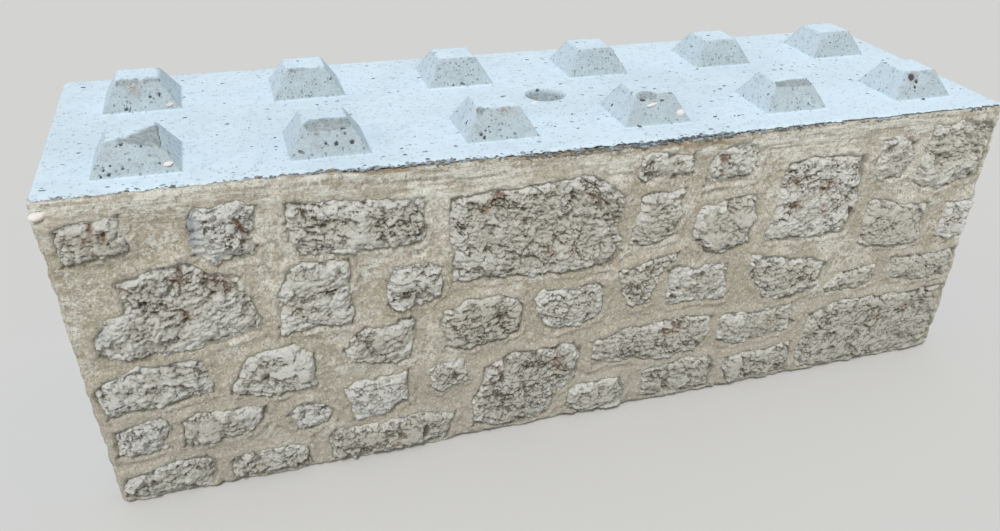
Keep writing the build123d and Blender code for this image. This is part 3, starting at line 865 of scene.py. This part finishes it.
# What marks single stones, each from one place to another in x and z, with a width and a strength
# Dents are as deep as their strength in metres
MARKS = {
    "dent": [
        (-0.818, 0.568, -0.825, 0.538, 0.005, 0.003), (-0.801, 0.560, -0.805, 0.539, 0.005, 0.003),
        (-0.854, 0.556, -0.850, 0.510, 0.004, 0.003), (-0.621, 0.545, -0.605, 0.500, 0.005, 0.004),
        (-0.719, 0.449, -0.700, 0.452, 0.020, 0.007), (-0.672, 0.437, -0.655, 0.430, 0.024, 0.008),
        (-0.802, 0.420, -0.725, 0.380, 0.016, 0.006), (-0.797, 0.462, -0.810, 0.402, 0.005, 0.004),
        (-0.640, 0.395, -0.600, 0.370, 0.018, 0.005), (-0.516, 0.556, -0.507, 0.526, 0.004, 0.004),
        (-0.498, 0.556, -0.492, 0.534, 0.003, 0.003), (-0.479, 0.556, -0.462, 0.520, 0.005, 0.005),
        (-0.447, 0.552, -0.437, 0.530, 0.004, 0.003), (-0.414, 0.545, -0.408, 0.522, 0.005, 0.004),
        (-0.386, 0.540, -0.380, 0.510, 0.005, 0.004), (-0.358, 0.540, -0.352, 0.512, 0.006, 0.004),
        (-0.519, 0.484, -0.516, 0.486, 0.007, 0.006), (-0.536, 0.512, -0.494, 0.515, 0.004, 0.003),
        (-0.550, 0.369, -0.510, 0.356, 0.005, 0.005), (-0.500, 0.386, -0.452, 0.384, 0.005, 0.005),
        (-0.485, 0.356, -0.455, 0.350, 0.006, 0.005), (-0.206, 0.505, -0.178, 0.531, 0.007, 0.004),
        (-0.262, 0.470, -0.200, 0.486, 0.012, 0.003), (-0.096, 0.530, -0.094, 0.506, 0.004, 0.003),
        (0.089, 0.564, 0.090, 0.564, 0.004, 0.005), (0.103, 0.559, 0.104, 0.559, 0.005, 0.006),
        (0.087, 0.554, 0.088, 0.554, 0.003, 0.004), (-0.110, 0.291, -0.060, 0.296, 0.004, 0.005),
        (-0.060, 0.296, -0.030, 0.318, 0.005, 0.004), (0.391, 0.519, 0.402, 0.512, 0.007, 0.007),
        (0.435, 0.526, 0.437, 0.517, 0.005, 0.006), (0.455, 0.512, 0.460, 0.512, 0.005, 0.005),
        (0.506, 0.518, 0.506, 0.500, 0.006, 0.006), (0.473, 0.481, 0.475, 0.481, 0.008, 0.007),
        (0.440, 0.488, 0.430, 0.480, 0.007, 0.005), (0.392, 0.474, 0.420, 0.466, 0.005, 0.005),
        (0.460, 0.466, 0.526, 0.460, 0.005, 0.005), (0.255, 0.556, 0.259, 0.513, 0.006, 0.003),
        (0.407, 0.336, 0.404, 0.312, 0.004, 0.004), (-0.609, 0.226, -0.598, 0.222, 0.010, 0.007),
        (-0.575, 0.256, -0.566, 0.232, 0.004, 0.004), (-0.742, 0.176, -0.740, 0.176, 0.008, 0.003),
        (-0.545, 0.148, -0.520, 0.150, 0.014, 0.004), (-0.792, 0.062, -0.752, 0.050, 0.004, 0.005),
        (-0.693, 0.082, -0.660, 0.050, 0.005, 0.005), (0.786, 0.138, 0.800, 0.136, 0.016, 0.004),
        (0.709, 0.121, 0.730, 0.121, 0.018, 0.003), (-0.120, 0.170, -0.075, 0.150, 0.020, 0.004),
    ],
    "rust": [
        (-0.818, 0.568, -0.825, 0.536, 0.004, 0.9), (-0.801, 0.560, -0.805, 0.538, 0.004, 0.9),
        (-0.836, 0.545, -0.833, 0.530, 0.005, 0.5), (-0.621, 0.540, -0.605, 0.512, 0.005, 0.9),
        (-0.610, 0.500, -0.604, 0.490, 0.006, 0.6), (-0.592, 0.520, -0.590, 0.505, 0.005, 0.5),
        (-0.206, 0.508, -0.178, 0.530, 0.009, 0.55), (-0.090, 0.414, -0.080, 0.405, 0.009, 0.6),
        (-0.052, 0.412, -0.047, 0.398, 0.008, 0.6), (-0.014, 0.511, -0.005, 0.508, 0.010, 0.5),
        (-0.100, 0.520, -0.095, 0.505, 0.006, 0.4), (0.261, 0.553, 0.259, 0.520, 0.007, 0.75),
        (0.430, 0.489, 0.422, 0.482, 0.008, 0.8), (0.508, 0.478, 0.496, 0.462, 0.009, 0.85),
        (0.440, 0.441, 0.432, 0.436, 0.010, 0.8), (0.502, 0.430, 0.503, 0.410, 0.009, 0.6),
        (-0.013, 0.330, -0.010, 0.316, 0.008, 0.7), (-0.725, 0.385, -0.700, 0.378, 0.008, 0.5),
        (-0.719, 0.455, -0.712, 0.445, 0.012, 0.4), (-0.672, 0.440, -0.650, 0.432, 0.014, 0.35),
        (-0.194, 0.172, -0.180, 0.165, 0.014, 0.45), (-0.062, 0.165, -0.056, 0.138, 0.010, 0.7),
        (0.195, 0.192, 0.180, 0.182, 0.012, 0.5), (0.423, 0.172, 0.424, 0.158, 0.012, 0.6),
        (-0.438, 0.056, -0.434, 0.046, 0.006, 0.6), (-0.392, 0.040, -0.396, 0.026, 0.005, 0.7),
        (-0.659, 0.034, -0.655, 0.028, 0.008, 0.6), (0.786, 0.140, 0.796, 0.134, 0.014, 0.4),
        (0.709, 0.128, 0.716, 0.112, 0.012, 0.4),
    ],
    "blue": [
        (-0.681, 0.547, -0.686, 0.510, 0.010, 0.85), (-0.560, 0.556, -0.430, 0.552, 0.008, 0.35),
        (-0.040, 0.340, -0.010, 0.352, 0.012, 0.4), (-0.855, 0.365, -0.850, 0.360, 0.014, 0.4),
        (0.640, 0.440, 0.700, 0.430, 0.016, 0.25),
    ],
    "pale": [
        (-0.745, 0.440, -0.738, 0.428, 0.006, 1.0), (-0.270, 0.520, -0.255, 0.400, 0.020, 0.7),
        (0.350, 0.380, 0.470, 0.374, 0.012, 0.9), (0.400, 0.555, 0.530, 0.545, 0.012, 0.9),
        (0.522, 0.540, 0.524, 0.470, 0.010, 0.8), (-0.153, 0.212, -0.038, 0.204, 0.010, 0.9),
        (-0.830, 0.290, -0.700, 0.292, 0.010, 0.8), (-0.668, 0.300, -0.640, 0.292, 0.010, 0.7),
        (0.000, 0.224, 0.240, 0.232, 0.008, 0.9), (-0.080, 0.358, 0.000, 0.360, 0.010, 0.8),
        (-0.860, 0.105, -0.720, 0.120, 0.012, 0.7), (0.600, 0.250, 0.860, 0.280, 0.010, 0.7),
    ],
}


def marked_at(places, marks):
    """How strongly marks touch places."""
    touch = np.zeros(len(places))
    for x_from, z_from, x_to, z_to, width, strength in marks:
        start = np.array((x_from, z_from))
        along = np.array((x_to, z_to)) - start
        share = np.clip((places - start) @ along / (along @ along), 0, 1)
        gap = np.linalg.norm(places - start - share[:, None] * along, axis=1)
        touch = np.maximum(touch, strength * np.exp(-((gap / width) ** 2)))
    return touch


limestone, shader, place = new_material("limestone")
inner = place.read("inner")
side = place.read("side")
height = place.read("height")
pitted = place.read("pitted")
stand = place.read("stand")
cloud = place.noise(14.0, 4.0, 0.65)
smear = place.noise(48.0, 4.0, 0.65)
fine = place.noise(230.0, 5.0, 0.75)
pores = place.stirred(150.0, 0.004).cells(210.0)
low = place.axis(2).ease(0.42, 0.02)
tone = place.read("tone")
# Cream middles; brown in the hollows, with painted shade in the hollows, pits and pores and painted highlight
# where the stone stands up
age = cloud * 0.7 + smear * 0.5 + low * 0.1 - tone * 0.5 - height * 0.12 - place.read("pale") * 0.7
age = age + 0.1 - stand * 0.22
heart = (inner + (cloud - 0.5) * 0.050 + (smear - 0.5) * 0.030).ease(0.004, 0.026)
color = (age + heart * 0.45).ease(0.62, 1.28).blend(STONE_PALE, STONE_HEART)
bright = height * 0.45 + (0.5 - fine) * (1.2 + low * 0.5) - heart * 0.25 + tone * 0.12
color = (bright.ease(0.0, 0.65) * 0.85).blend(color, STONE_WHITE)
dark = (fine - 0.5) * (1.4 + low * 0.5) - height * (0.42 + low * 0.1) + heart * 0.10 - tone * 0.12
dark = dark - stand * 0.12
color = (dark.ease(0.22, 0.80) * 0.95).blend(color, STONE_HOLLOW)
color = ((pitted + (fine - 0.5) * 0.9).ease(0.30, 0.82) * 0.85).blend(color, STONE_HOLLOW)
# Painted shade towards the bottom
color = (low * (0.05 + smear * 0.25)).blend(color, STONE_LOW_SHADE)
color = ((0.26 - pores).ease(0.0, 0.15) * smear.ease(0.45, 0.65) * 0.6).blend(color, STONE_HOLLOW)
# White rims, brighter on rims that face up and left as painted highlight; marks of single stones; and smeared
# mortar, with painted shadow in dark lines at open joints
edge = (inner + (smear - 0.5) * 0.012).ease(0.020, 0.006) * (cloud - side * 0.35).ease(0.40, 0.75)
color = (edge * (0.55 - fine).ease(-0.1, 0.2) * 0.85).blend(color, STONE_WHITE)
color = (place.read("blue") * (0.4 + cloud)).blend(color, STONE_BLUE)
color = (place.read("rust") * (fine - height * 0.3).ease(0.25, 0.75)).blend(color, STONE_RUST)
line_mask = open_joint(place, side)
smudge = (inner + (smear - 0.5) * 0.020 + (cloud - 0.5) * 0.016 + line_mask * 0.004).ease(0.0045, 0.0010)
color = (smudge * 0.88).blend(color, MORTAR_SAND)
# Painted shadow in a dark line where the joint stands open
line = (inner + (smear - 0.5) * 0.003).ease(0.0024, 0.0004) * line_mask
color = (line * 0.42).blend(color, MORTAR_DARK)
relief = fine * 1.5 + smear * 1.0 + pores.low(0.35) * 1.0
finish_material(shader, color, cloud.ease(0.2, 0.8, 0.82, 0.96), relief, 0.0031)

tree, size = geometry_tree(
    "broken stone",
    {
        "Front limit": FRONT_LIMIT,
        "Pitting": 1.0,
        "Relief": 1.0,
        "Drift": (0.0, 0.0, 0.0),
        "Turn": 0.0,
        "Tone": 0.0,
    },
)
mesh = size["Mesh"]
place = mesh.make("GeometryNodeInputPosition")
inner = place.read("inner")
own = place.vector("ADD", size["Drift"])
turned = {"Vector": own, "Angle": size["Turn"]}
own = own.make("ShaderNodeVectorRotate", {"rotation_type": "Y_AXIS"}, turned)


def plates(place, scale, stir, slope, step):
    """Flat broken faces that lean at random, each a little above or below the next."""
    place = place.stirred(scale * 0.9, stir)
    sockets = {"Vector": place, "Scale": scale}
    lean = place.make("ShaderNodeTexVoronoi", {}, sockets, 1).vector("SUBTRACT", (0.5, 0.5, 0.5))
    middle = place.make("ShaderNodeTexVoronoi", {}, sockets, 2)
    return place.vector("SUBTRACT", middle).vector("DOT_PRODUCT", lean, 1) * slope + lean.axis(1) * step


# Plates and shards that lean, with a rough skin and ridges on them
swell = (own.noise(9.0, 2.0) - 0.5) * 0.009
faces = plates(own, 23.0, 0.030, 0.42, 0.0026)
shards = plates(own.vector("MULTIPLY", (1.0, 1.0, 1.5)), 54.0, 0.014, 0.46, 0.0020)
rough = (own.noise(115.0, 4.0, 0.72) - 0.5) * 0.0060
ridges = own.vector("MULTIPLY", (1.0, 1.0, 1.6)).noise(40.0, 4.0, 0.6, 0.4)
ridges = abs(ridges - 0.5).ease(0.0, 0.09, 0.0, 0.0032)
# Pits and winding hollows, crowded where the stone is weathered, and rims chipped and rounded
pit_place = own.vector("MULTIPLY", (1.0, 1.0, 1.3)).noise(105.0, 3.0, 0.62, 0.5)
crowd = (own.noise(10.0, 3.0, 0.6) + inner.ease(0.004, 0.030) * 0.16).ease(0.46, 0.64) * size["Pitting"]
worm = own.vector("MULTIPLY", (1.0, 1.0, 1.5)).stirred(30.0, 0.012).noise(46.0, 3.0, 0.6, 0.6)
worm = abs(worm - 0.5).ease(0.006, 0.050, 1.0, 0.0) * own.noise(27.0, 3.0, 0.6).ease(0.44, 0.56)
pitted = (pit_place.ease(0.45, 0.37) * 0.75).high(worm) * (0.15 + crowd * 0.85) * inner.ease(0.002, 0.012)
dent = place.read("dent")
chipped = inner.ease(0.004, 0.024, 1.0, 0.0) * own.noise(33.0, 4.0, 0.65).ease(0.44, 0.62) * 0.0060
bumps = faces + shards + rough + ridges
pillow = inner.ease(0.0, 0.030, 1.0, 0.0) ** 2.0 * 0.0050
foot = place.axis(2).ease(0.0, 0.012, 1.0, 0.0) * 0.008
out = swell + bumps - pitted * 0.0032 - dent - chipped - pillow - 0.0026
out = out * inner.ease(-0.003, 0.003) * size["Relief"] - foot
ahead = place.axis(1) - out * place.read("front")
ahead = place.math("SMOOTH_MAX", ahead, size["Front limit"], 0.0040)
height = (shards * 0.5 + rough + ridges - 0.0021) / 0.0030 - pitted * 0.6 - dent / 0.008 - chipped / 0.012
# What the material reads, then each point moved along y, smoothly held behind the front limit
mesh = mesh.marked("height", height).marked("pitted", pitted).marked("tone", size["Tone"])
mesh = mesh.marked("stand", ((faces + swell) / 0.005).high(-1.5).low(1.5))
mesh = mesh.pushed(y=(ahead - place.axis(1)) * place.read("front"))
end_tree(tree, mesh, limestone)

for number, name in enumerate(stone_names, start=1):
    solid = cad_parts[name].data
    corners = outlines[name]
    # A grid over the outline, kept only up to its ragged rim
    low = np.maximum(corners.min(0) - STONE_MARGIN, (MORTAR_LOW[0] + STONE_CLEAR, STONE_CLEAR))
    high = (MORTAR_HIGH[0] - STONE_CLEAR, DECK_LEVEL - 2 * STONE_CLEAR)
    high = np.minimum(corners.max(0) + STONE_MARGIN, high)
    across, up = np.round((high - low) / STONE_STEP).astype(int)
    grid_x, grid_z = np.meshgrid(
        np.linspace(low[0], high[0], across + 1), np.linspace(low[1], high[1], up + 1), indexing="ij"
    )
    flat = np.stack([grid_x.ravel(), grid_z.ravel()], axis=1)
    moved = wander(flat)
    inner, facing = rim_distance(moved, corners)
    faces = grid_faces(across, up)
    faces = faces[(inner[faces] > -STONE_RIM).all(axis=1)]
    used = np.unique(faces)
    renumber = np.full(len(flat), -1)
    renumber[used] = np.arange(len(used))
    flat, moved, inner, facing = flat[used], moved[used], inner[used], facing[used]
    # Each point on the solid's own face, or sloping back into the mortar past the rim
    solid_faces = BVHTree.FromPolygons(
        [vertex.co for vertex in solid.vertices], [face.vertices[:] for face in solid.polygons]
    )
    depth = JOINT_FACE + RIM_SINK + RIM_SLOPE * np.maximum(-inner, 0)
    for index in np.flatnonzero(inner > 0):
        start = Vector((moved[index, 0], RAY_START, moved[index, 1]))
        hit = solid_faces.ray_cast(start, Vector((0, 1, 0)))[0]
        if hit:
            depth[index] = hit.y
    mesh = bpy.data.meshes.new(f"stone_{number:02d}")
    vertices = np.stack([flat[:, 0], depth, flat[:, 1]], axis=1)
    mesh.from_pydata(vertices.tolist(), [], renumber[faces].tolist())
    carry(mesh, "inner", inner)
    carry(mesh, "side", facing)
    for kind, marks in MARKS.items():
        near = [mark for mark in marks if low[0] < mark[0] < high[0] and low[1] < mark[1] < high[1]]
        carry(mesh, kind, marked_at(moved, near))
    close_back(mesh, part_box(name)[1][1])
    stone = new_piece(f"stone_{number:02d}", mesh)
    # Drift and turn give each stone its own stretch of the broken surface
    grow(
        stone,
        tree,
        Drift=(0.37 * number, 0.91 * number, 0.53 * number),
        Turn=math.radians((number * 37) % 50 - 25),
        Tone=STONE_TONES.get(number, 0.0),
        Pitting=FEW_PITS if number in SMOOTH_STONES else 1.0,
    )
    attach(stone, "root")
    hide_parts(name)

# Crumbs, chips and pebbles
# Dark broken aggregate in the open seam between the deck and the mortar, with larger chips bedded
# in it: thick through the middle, thin at both ends. More chips lie loose on the deck, and seven
# pebbles are cast in the studs, the deck and the mortar.
CRUMB_COUNT = 1800
CRUMB_SEED = 7
CRUMB_SINK = 0.0022
CRUMB_ENDS = (-0.893, 0.895)
# Crumbs crowd in clusters, each some places long
CRUMB_CLUSTERS = 80
CLUSTER_PLACES = 5
CRUMB_SMALLEST = 0.0010
CRUMB_SPAN = 0.0034
DECK_CHIP_SINK = 0.0004
SEAM_CHIP_SINK = 0.0016
GRAIN_TURN_SEED = 3
GRAIN_SQUASH_SEED = 5
CRUMB_DARK = (0.115, 0.125, 0.13)
CRUMB_SLATE = (0.30, 0.355, 0.39)
CRUMB_BROWN = (0.24, 0.19, 0.13)
CRUMB_PALE = (0.72, 0.69, 0.62)
CRUMB_WHITE = (0.84, 0.79, 0.75)
# Dark chips that lie on the deck: x, y, radius
DECK_CHIPS = [
    (-0.056, -0.152, 0.0018), (-0.052, -0.163, 0.0022), (-0.046, -0.152, 0.0016), (-0.047, -0.170, 0.0018),
    (-0.040, -0.174, 0.0020), (-0.043, -0.166, 0.0014), (0.013, -0.120, 0.0026), (0.017, -0.122, 0.0016),
    (0.028, -0.129, 0.0013), (0.034, -0.126, 0.0013), (0.039, -0.128, 0.0020), (0.071, -0.137, 0.0016),
    (0.073, -0.148, 0.0022), (0.083, -0.153, 0.0022), (0.051, 0.054, 0.0024), (0.055, 0.054, 0.0018),
    (0.107, 0.014, 0.0022), (0.102, 0.015, 0.0018), (0.274, -0.203, 0.0032), (0.276, -0.215, 0.0018),
    (0.305, -0.211, 0.0015), (0.316, -0.206, 0.0020), (0.3245, -0.2077, 0.0030), (0.320, -0.210, 0.0020),
    (0.332, -0.206, 0.0018), (0.313, -0.212, 0.0014), (0.380, 0.078, 0.0028), (0.566, 0.065, 0.0022),
    (0.654, 0.029, 0.0026), (0.603, -0.074, 0.0026), (0.378, -0.079, 0.0020), (-0.778, -0.236, 0.0022),
    (-0.768, -0.243, 0.0026), (-0.750, -0.247, 0.0018),
]
# Larger chips bedded in the seam: x, y, radius
SEAM_CHIPS = [
    (0.129, -0.288, 0.0030), (0.144, -0.285, 0.0036), (0.160, -0.287, 0.0028), (0.174, -0.284, 0.0034),
    (0.188, -0.282, 0.0030), (0.200, -0.280, 0.0044), (0.207, -0.276, 0.0038), (0.213, -0.282, 0.0030),
    (0.226, -0.284, 0.0026), (0.239, -0.282, 0.0032), (0.249, -0.280, 0.0044), (0.256, -0.279, 0.0034),
    (0.270, -0.280, 0.0032), (0.283, -0.284, 0.0024), (0.312, -0.283, 0.0034), (0.336, -0.283, 0.0028),
    (0.383, -0.286, 0.0028), (0.416, -0.284, 0.0026), (0.468, -0.286, 0.0024), (0.509, -0.287, 0.0022),
    (-0.529, -0.272, 0.0030), (-0.514, -0.266, 0.0028), (-0.492, -0.274, 0.0030), (-0.467, -0.277, 0.0028),
    (-0.409, -0.279, 0.0032), (-0.398, -0.276, 0.0026), (-0.385, -0.278, 0.0030), (-0.370, -0.275, 0.0026),
    (-0.336, -0.279, 0.0026), (-0.322, -0.277, 0.0028), (-0.299, -0.280, 0.0026), (-0.270, -0.284, 0.0030),
]
# Pebbles: x, y, z, radius, tone
PEBBLES = [
    (-0.701, -0.2075, 0.6135, 0.0080, 0.97),
    (0.143, -0.1955, 0.633, 0.0072, 0.96),
    (0.198, -0.2065, 0.616, 0.0088, 0.97),
    (-0.700, 0.088, 0.609, 0.0055, 0.94),
    (-0.038, -0.042, 0.5985, 0.0046, 0.97),
    (-0.029, -0.041, 0.5985, 0.0032, 0.90),
    (-0.886, -0.2835, 0.583, 0.0100, 0.97),
]

aggregate, shader, place = new_material("aggregate")
tone = place.read("tone")
fine = place.noise(300.0, 3.0, 0.6)
color = tone.ease(0.42, 0.50).blend(CRUMB_DARK, CRUMB_SLATE)
color = tone.ease(0.70, 0.74).blend(color, CRUMB_BROWN)
color = tone.ease(0.82, 0.85).blend(color, CRUMB_PALE)
color = tone.ease(0.94, 0.96).blend(color, CRUMB_WHITE)
color = (fine.ease(0.4, 0.7) * tone.ease(0.8, 0.85, 0.3, 0.05)).blend(color, CRUMB_SLATE)
finish_material(shader, color, fine.ease(0.2, 0.8, 0.7, 0.95), fine, 0.0008)

# Every grain is a ball, flattened and turned at random so that it lies down, and then dented
tree, size = geometry_tree("grains", {"Grain size": 1.0, "Fineness": 1.0, "Dents": 0.0022})
mesh = size["Mesh"]
points = mesh.make("GeometryNodeMeshToPoints", {}, {"Mesh": mesh})
ball = {"Radius": size["Grain size"], "Subdivisions": size["Fineness"]}
ball = mesh.make("GeometryNodeMeshIcoSphere", {}, ball)
# A random value's sockets: 0 and 1 are its least and its most, 8 is its seed
turn = {0: (-0.35, -0.3, -0.6), 1: (0.35, 0.3, 0.6), 8: GRAIN_TURN_SEED}
turn = mesh.make("FunctionNodeRandomValue", {"data_type": "FLOAT_VECTOR"}, turn)
turn = mesh.make("FunctionNodeEulerToRotation", {}, {0: turn})
squash = {0: (0.9, 0.6, 0.4), 1: (1.9, 1.1, 0.8), 8: GRAIN_SQUASH_SEED}
squash = mesh.make("FunctionNodeRandomValue", {"data_type": "FLOAT_VECTOR"}, squash)
amount = mesh.make("ShaderNodeCombineXYZ", {}, {axis: mesh.read("size") for axis in range(3)})
placed = {"Points": points, "Instance": ball, "Rotation": turn, "Scale": squash.vector("MULTIPLY", amount)}
mesh = mesh.make("GeometryNodeInstanceOnPoints", {}, placed)
mesh = mesh.make("GeometryNodeRealizeInstances", {}, {"Geometry": mesh})
place = mesh.make("GeometryNodeInputPosition")
dent = place.noise(260.0, 2.0, 0.6, 0.0, 1).vector("SUBTRACT", (0.5, 0.5, 0.5))
amount = mesh.make("ShaderNodeCombineXYZ", {}, {axis: size["Dents"] for axis in range(3)})
dented = {"Geometry": mesh, "Offset": dent.vector("MULTIPLY", amount)}
mesh = mesh.make("GeometryNodeSetPosition", {}, dented)
end_tree(tree, mesh, aggregate, smooth=False)


def grow_grains(name, places, sizes, tones, **settings):
    """Lay grains of the given sizes and tones, and make them one piece."""
    mesh = bpy.data.meshes.new(name)
    mesh.from_pydata(places.tolist(), [], [])
    carry(mesh, "size", sizes)
    carry(mesh, "tone", tones)
    grains = new_piece(name, mesh)
    grow(grains, tree, **settings)
    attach(grains, "root")


def lay_chips(name, chips, sink, tones, **settings):
    """Lay chips of a given x, y and radius, sunk a little below the deck's level."""
    chips = np.array(chips)
    places = np.column_stack([chips[:, :2], np.full(len(chips), DECK_LEVEL - sink)])
    grow_grains(name, places, chips[:, 2], np.linspace(*tones, len(chips)), **settings)


random = np.random.default_rng(CRUMB_SEED)
seam_places = np.linspace(*CRUMB_ENDS, CRUMB_CLUSTERS * CLUSTER_PLACES)
crowd = 0.1 + random.random(CRUMB_CLUSTERS).repeat(CLUSTER_PLACES) ** 1.5
crowd = np.interp(seam_places, *zip(*SEAM_OPEN)) * crowd
crumb_x = random.choice(seam_places, size=CRUMB_COUNT, p=crowd / crowd.sum())
crumb_x = crumb_x + random.uniform(-0.003, 0.003, CRUMB_COUNT)
# Crumbs scatter wider where the seam stands open, and less far to its front
spread = np.interp(crumb_x, *zip(*SEAM_OPEN)) * 0.0030 + 0.0026
crumb_off = random.normal(0.0, 1.0, CRUMB_COUNT) * spread
crumb_off = np.where(crumb_off < 0, crumb_off * 0.55, crumb_off) + 0.0008
crumb_y = np.interp(crumb_x, *zip(*SEAM_RUN)) + crumb_off
crumb_z = DECK_LEVEL - CRUMB_SINK - np.interp(-crumb_y, [0.274, 0.288], [0, 0.0060])
crumb_z += random.uniform(-0.0015, 0.0012, CRUMB_COUNT)
grow_grains(
    "seam_crumbs",
    np.stack([crumb_x, crumb_y, crumb_z], axis=1),
    CRUMB_SMALLEST + CRUMB_SPAN * random.random(CRUMB_COUNT) ** 2.6,
    random.uniform(0.22, 0.85, CRUMB_COUNT),
)
lay_chips("deck_chips", DECK_CHIPS, DECK_CHIP_SINK, (0.05, 0.55))
lay_chips("seam_chips", SEAM_CHIPS, SEAM_CHIP_SINK, (0.40, 0.66), Fineness=2.0)
pebbles = np.array(PEBBLES)
grow_grains("pebbles", pebbles[:, :3], pebbles[:, 3], pebbles[:, 4], Fineness=4.0)

# Studio
# A plain pale floor, a soft sky, a soft lamp high on the left, and a camera that sees the block
# from where the photo was taken.
CAMERA_PLACE = (-0.5763, -1.6367, 1.1806)
CAMERA_TURN = (55.870, -1.832, -19.386)
CAMERA_LENS = 31.65
CAMERA_SHIFT = (-0.0541, 0.0749)
FLOOR_REACH = 60
FLOOR_TONE = (0.65, 0.645, 0.63)
SKY_TONE = (0.97, 0.985, 1.0)
SKY_STRENGTH = 0.515
LAMP_STRENGTH = 1.95
LAMP_SPREAD = 15
LAMP_AIM = (0.24, 0.51, -0.78)

camera_data = bpy.data.cameras.new("camera")
camera_data.sensor_width = 36
camera_data.lens = CAMERA_LENS
camera_data.shift_x, camera_data.shift_y = CAMERA_SHIFT
camera_data.clip_start = 0.05
camera = new_piece("camera", camera_data)
camera.location = CAMERA_PLACE
camera.rotation_euler = [math.radians(turn) for turn in CAMERA_TURN]
bpy.context.scene.camera = camera

floor_material, shader, place = new_material("pale_floor")
shader.inputs["Base Color"].default_value = (*FLOOR_TONE, 1)
shader.inputs["Roughness"].default_value = 0.9
floor_mesh = bpy.data.meshes.new("floor")
floor_corners = [(x * FLOOR_REACH, y * FLOOR_REACH, 0) for x, y in ((-1, -1), (1, -1), (1, 1), (-1, 1))]
floor_mesh.from_pydata(floor_corners, [], [(0, 1, 2, 3)])
floor_mesh.materials.append(floor_material)
new_piece("floor", floor_mesh)

world = bpy.data.worlds.new("soft_sky")
world.use_nodes = True
sky = world.node_tree.nodes["Background"]
sky.inputs["Color"].default_value = (*SKY_TONE, 1)
sky.inputs["Strength"].default_value = SKY_STRENGTH
bpy.context.scene.world = world

lamp_data = bpy.data.lights.new("high_lamp", "SUN")
lamp_data.energy = LAMP_STRENGTH
lamp_data.angle = math.radians(LAMP_SPREAD)
lamp = new_piece("high_lamp", lamp_data)
lamp.rotation_euler = Vector(LAMP_AIM).to_track_quat("-Z", "Y").to_euler()

bpy.context.scene.view_settings.view_transform = "Standard"
